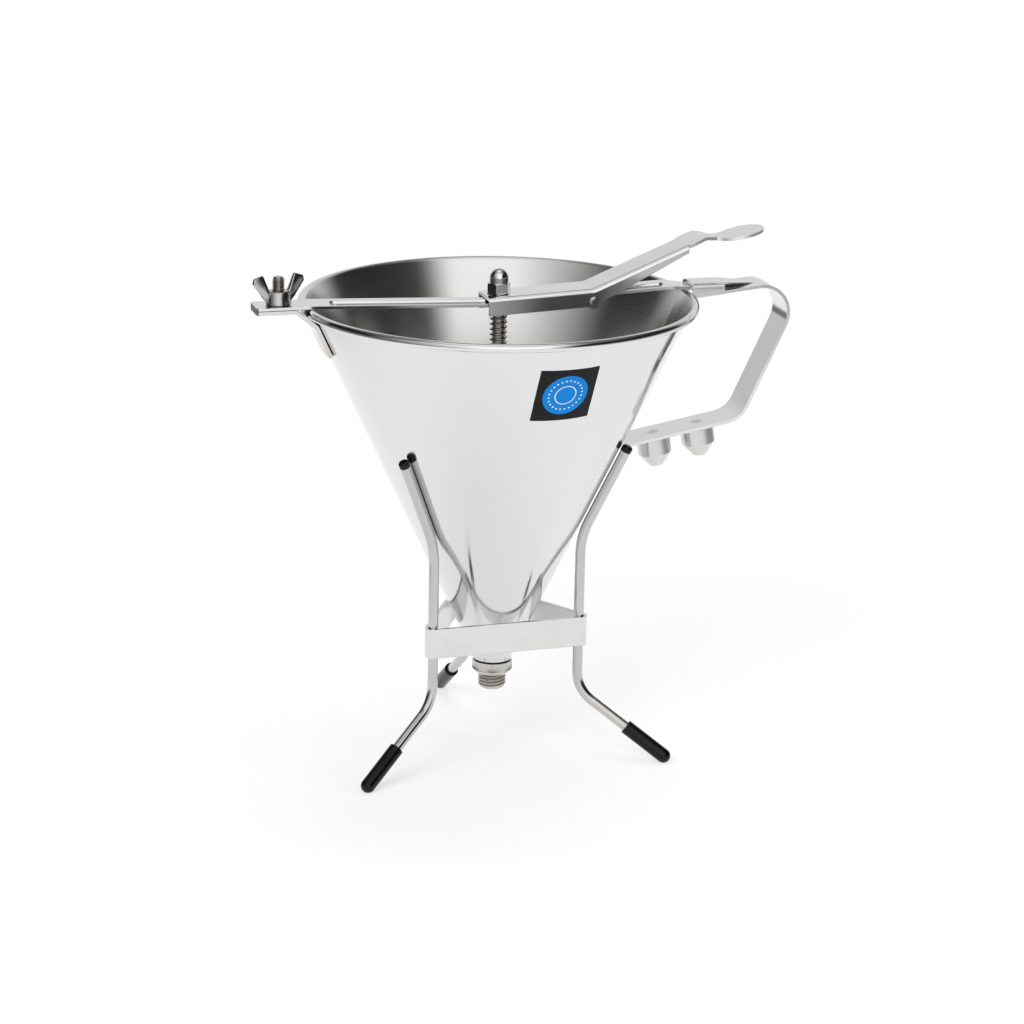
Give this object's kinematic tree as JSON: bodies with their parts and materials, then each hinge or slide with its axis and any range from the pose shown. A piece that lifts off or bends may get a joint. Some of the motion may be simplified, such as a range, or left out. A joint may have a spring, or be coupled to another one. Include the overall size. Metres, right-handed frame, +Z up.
{
  "type": "pancake batter dispenser",
  "caption": "Conical steel batter funnel with a lever-lifted piston valve, strap handle carrying spare nozzles, and a rod stand with capped feet.",
  "frame": {"origin": "centre of the shoulder on the outlet where a nozzle seats, on the funnel axis, 40 mm above the surface that the stand is on", "axes": "+Z up along the funnel axis, +X towards the handle, -Y towards the front"},
  "size_m": [0.2697, 0.1946, 0.2618],
  "materials": {
    "polished_steel": "mirror polished stainless steel",
    "turned_steel": "turned stainless steel, bright",
    "pressed_steel": "polished stainless strip with fine brushing",
    "stand_steel": "bright stainless rod and strip",
    "bright_steel": "bright cast or forged stainless steel",
    "spring_steel": "bright drawn spring wire",
    "black_rubber": "matt black gasket",
    "black_vinyl": "satin black dipped vinyl"
  },
  "bodies": {
    "stand": {"stand_band": "stand_steel", "leg_rear": "stand_steel", "leg_left": "stand_steel", "leg_right": "stand_steel", "foot_cap_rear": "black_vinyl", "foot_cap_left": "black_vinyl", "foot_cap_right": "black_vinyl", "tip_plug_rear": "black_vinyl", "tip_plug_left": "black_vinyl", "tip_plug_right": "black_vinyl"},
    "funnel": {"funnel_cone": "polished_steel", "outlet_socket": "turned_steel", "outlet_gasket": "black_rubber", "clamp_bracket": "pressed_steel", "clamp_stud": "turned_steel", "crossbar": "pressed_steel", "handle": "pressed_steel", "nozzle_studs": "turned_steel", "return_spring": "spring_steel"},
    "piston": {"piston_rod": "turned_steel", "cap_nut": "bright_steel", "spring_collar": "turned_steel", "valve_plug": "turned_steel"},
    "lever": {"lever": "pressed_steel", "fulcrum_pin": "turned_steel"},
    "wing_nut": {"wing_nut": "bright_steel"},
    "outlet": {"outlet_adapter": "turned_steel"},
    "nozzle_inner": {"nozzle_inner": "turned_steel"},
    "nozzle_outer": {"nozzle_outer": "turned_steel"}
  },
  "joints": [
    {"name": "funnel_lift", "type": "slide", "parent": "stand", "child": "funnel", "axis": [0, 0, 1], "range_m": [0, 0.12]},
    {"name": "lever_press", "type": "hinge", "parent": "funnel", "child": "lever", "pos_m": [0.0455, 0, 0.19012], "axis": [0, 1, 0], "range_deg": [0, 14]},
    {"name": "piston_lift", "type": "slide", "parent": "funnel", "child": "piston", "axis": [0, 0, 1], "range_m": [0, 0.01216], "stiffness_N_per_m": 300, "springref_m": -0.02, "deforming": ["return_spring"]},
    {"name": "wing_nut_turn", "type": "hinge", "parent": "funnel", "child": "wing_nut", "pos_m": [-0.109, 0, 0.1938], "axis": [0, 0, 1], "continuous": true},
    {"name": "outlet_turn", "type": "hinge", "parent": "funnel", "child": "outlet", "pos_m": [0, 0, 0], "axis": [0, 0, 1], "continuous": true},
    {"name": "nozzle_inner_turn", "type": "hinge", "parent": "funnel", "child": "nozzle_inner", "pos_m": [0.08114, 0, 0.11814], "axis": [0.1736, 0, -0.9848], "continuous": true},
    {"name": "nozzle_outer_turn", "type": "hinge", "parent": "funnel", "child": "nozzle_outer", "pos_m": [0.10394, 0, 0.12216], "axis": [0.1736, 0, -0.9848], "continuous": true}
  ],
  "couplings": [
    {"joint": "lever_press", "follows": "piston_lift", "rad_per_m": 20.08}
  ]
}
